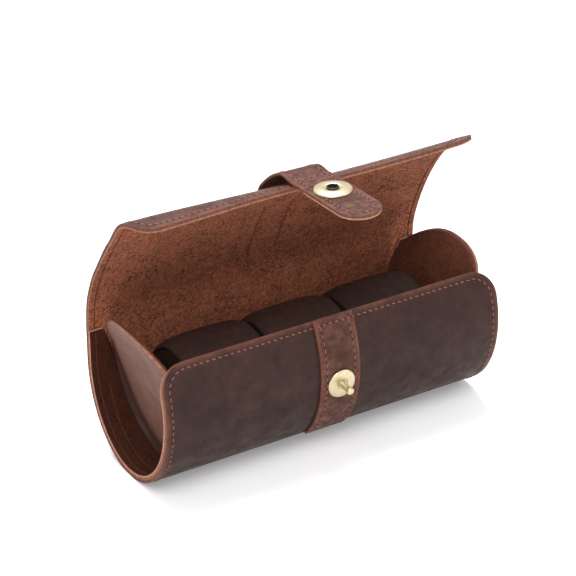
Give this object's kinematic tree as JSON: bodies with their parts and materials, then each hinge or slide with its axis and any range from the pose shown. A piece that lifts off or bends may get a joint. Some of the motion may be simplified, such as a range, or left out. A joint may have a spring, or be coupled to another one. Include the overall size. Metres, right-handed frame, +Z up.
{
  "type": "watch travel case",
  "caption": "Leather barrel case for wristwatches: oval body, curling lid with a strap, and a peg that a socket snaps on.",
  "frame": {"origin": "middle of the flat that the case rests on, under the belly", "axes": "+X along the barrel, +Y to the back where the lid folds, +Z up"},
  "size_m": [0.18, 0.0999, 0.1381],
  "materials": {
    "case_leather": "oiled dark brown leather, matt",
    "suede": "brown suede, rough",
    "cap_leather": "smooth brown leather",
    "strap_leather": "reddish brown leather",
    "pillow_leather": "very dark brown leather",
    "foam": "soft foam",
    "brass": "pale polished brass",
    "black_bush": "black"
  },
  "bodies": {
    "case": {"belly_outer_leather": "case_leather", "belly_lining": "suede", "right_end_cap": "cap_leather", "right_end_cap_lining": "suede", "left_end_cap": "cap_leather", "left_end_cap_lining": "suede", "front_strap": "strap_leather", "stud_plate": "brass", "stud_peg": "brass", "stud_washer": "brass"},
    "lid_1": {"lid_lining_1": "suede", "lid_outer_leather_1": "case_leather"},
    "lid_2": {"lid_lining_2": "suede", "lid_outer_leather_2": "case_leather", "lid_strap_2": "strap_leather"},
    "lid_3": {"lid_lining_3": "suede", "lid_outer_leather_3": "case_leather", "lid_strap_3": "strap_leather"},
    "lid_4": {"lid_lining_4": "suede", "lid_outer_leather_4": "case_leather", "lid_strap_4": "strap_leather"},
    "lid_edge": {"lid_lining_5": "suede", "lid_outer_leather_5": "case_leather", "lid_strap_5": "strap_leather"},
    "tab": {"tab_lining": "suede", "tab_outer_leather": "strap_leather", "socket_disc": "brass", "socket_bush": "black_bush", "socket_back_plate": "brass"},
    "left_pillow": {"pillow_left_core": "foam", "pillow_left_cover": "pillow_leather", "pillow_left_end_pieces": "pillow_leather"},
    "middle_pillow": {"pillow_middle_core": "foam", "pillow_middle_cover": "pillow_leather", "pillow_middle_end_pieces": "pillow_leather"},
    "right_pillow": {"pillow_right_core": "foam", "pillow_right_cover": "pillow_leather", "pillow_right_end_pieces": "pillow_leather"}
  },
  "joints": [
    {"name": "lid_fold_1", "type": "hinge", "parent": "case", "child": "lid_1", "pos_m": [0, 0.0353, 0.0594], "axis": [1, 0, 0], "range_deg": [0, 35.5], "stiffness_Nm_per_rad": 0.5},
    {"name": "lid_fold_2", "type": "hinge", "parent": "lid_1", "child": "lid_2", "pos_m": [0, 0.03308, 0.07265], "axis": [1, 0, 0], "range_deg": [0, 11.5], "stiffness_Nm_per_rad": 0.5},
    {"name": "lid_fold_3", "type": "hinge", "parent": "lid_2", "child": "lid_3", "pos_m": [0, 0.02496, 0.09179], "axis": [1, 0, 0], "range_deg": [0, 7], "stiffness_Nm_per_rad": 0.5},
    {"name": "lid_fold_4", "type": "hinge", "parent": "lid_3", "child": "lid_4", "pos_m": [0, 0.01416, 0.10942], "axis": [1, 0, 0], "range_deg": [0, 8], "stiffness_Nm_per_rad": 0.5},
    {"name": "lid_edge_fold", "type": "hinge", "parent": "lid_4", "child": "lid_edge", "pos_m": [0, 0.00194, 0.12229], "axis": [1, 0, 0], "range_deg": [0, 28], "stiffness_Nm_per_rad": 0.25},
    {"name": "tab_flex", "type": "hinge", "parent": "lid_edge", "child": "tab", "pos_m": [0, -0.01475, 0.13514], "axis": [1, 0, 0], "range_deg": [-35, 2], "stiffness_Nm_per_rad": 0.05},
    {"name": "left_pillow_lift", "type": "slide", "parent": "case", "child": "left_pillow", "axis": [0, 0, -1], "range_m": [-0.042, 0]},
    {"name": "middle_pillow_lift", "type": "slide", "parent": "case", "child": "middle_pillow", "axis": [0, 0, -1], "range_m": [-0.042, 0]},
    {"name": "right_pillow_lift", "type": "slide", "parent": "case", "child": "right_pillow", "axis": [0, 0, -1], "range_m": [-0.042, 0]}
  ],
  "couplings": [
    {"joint": "lid_fold_2", "follows": "lid_fold_1", "ratio": 0.32394},
    {"joint": "lid_fold_3", "follows": "lid_fold_1", "ratio": 0.19718},
    {"joint": "lid_fold_4", "follows": "lid_fold_1", "ratio": 0.22535}
  ]
}
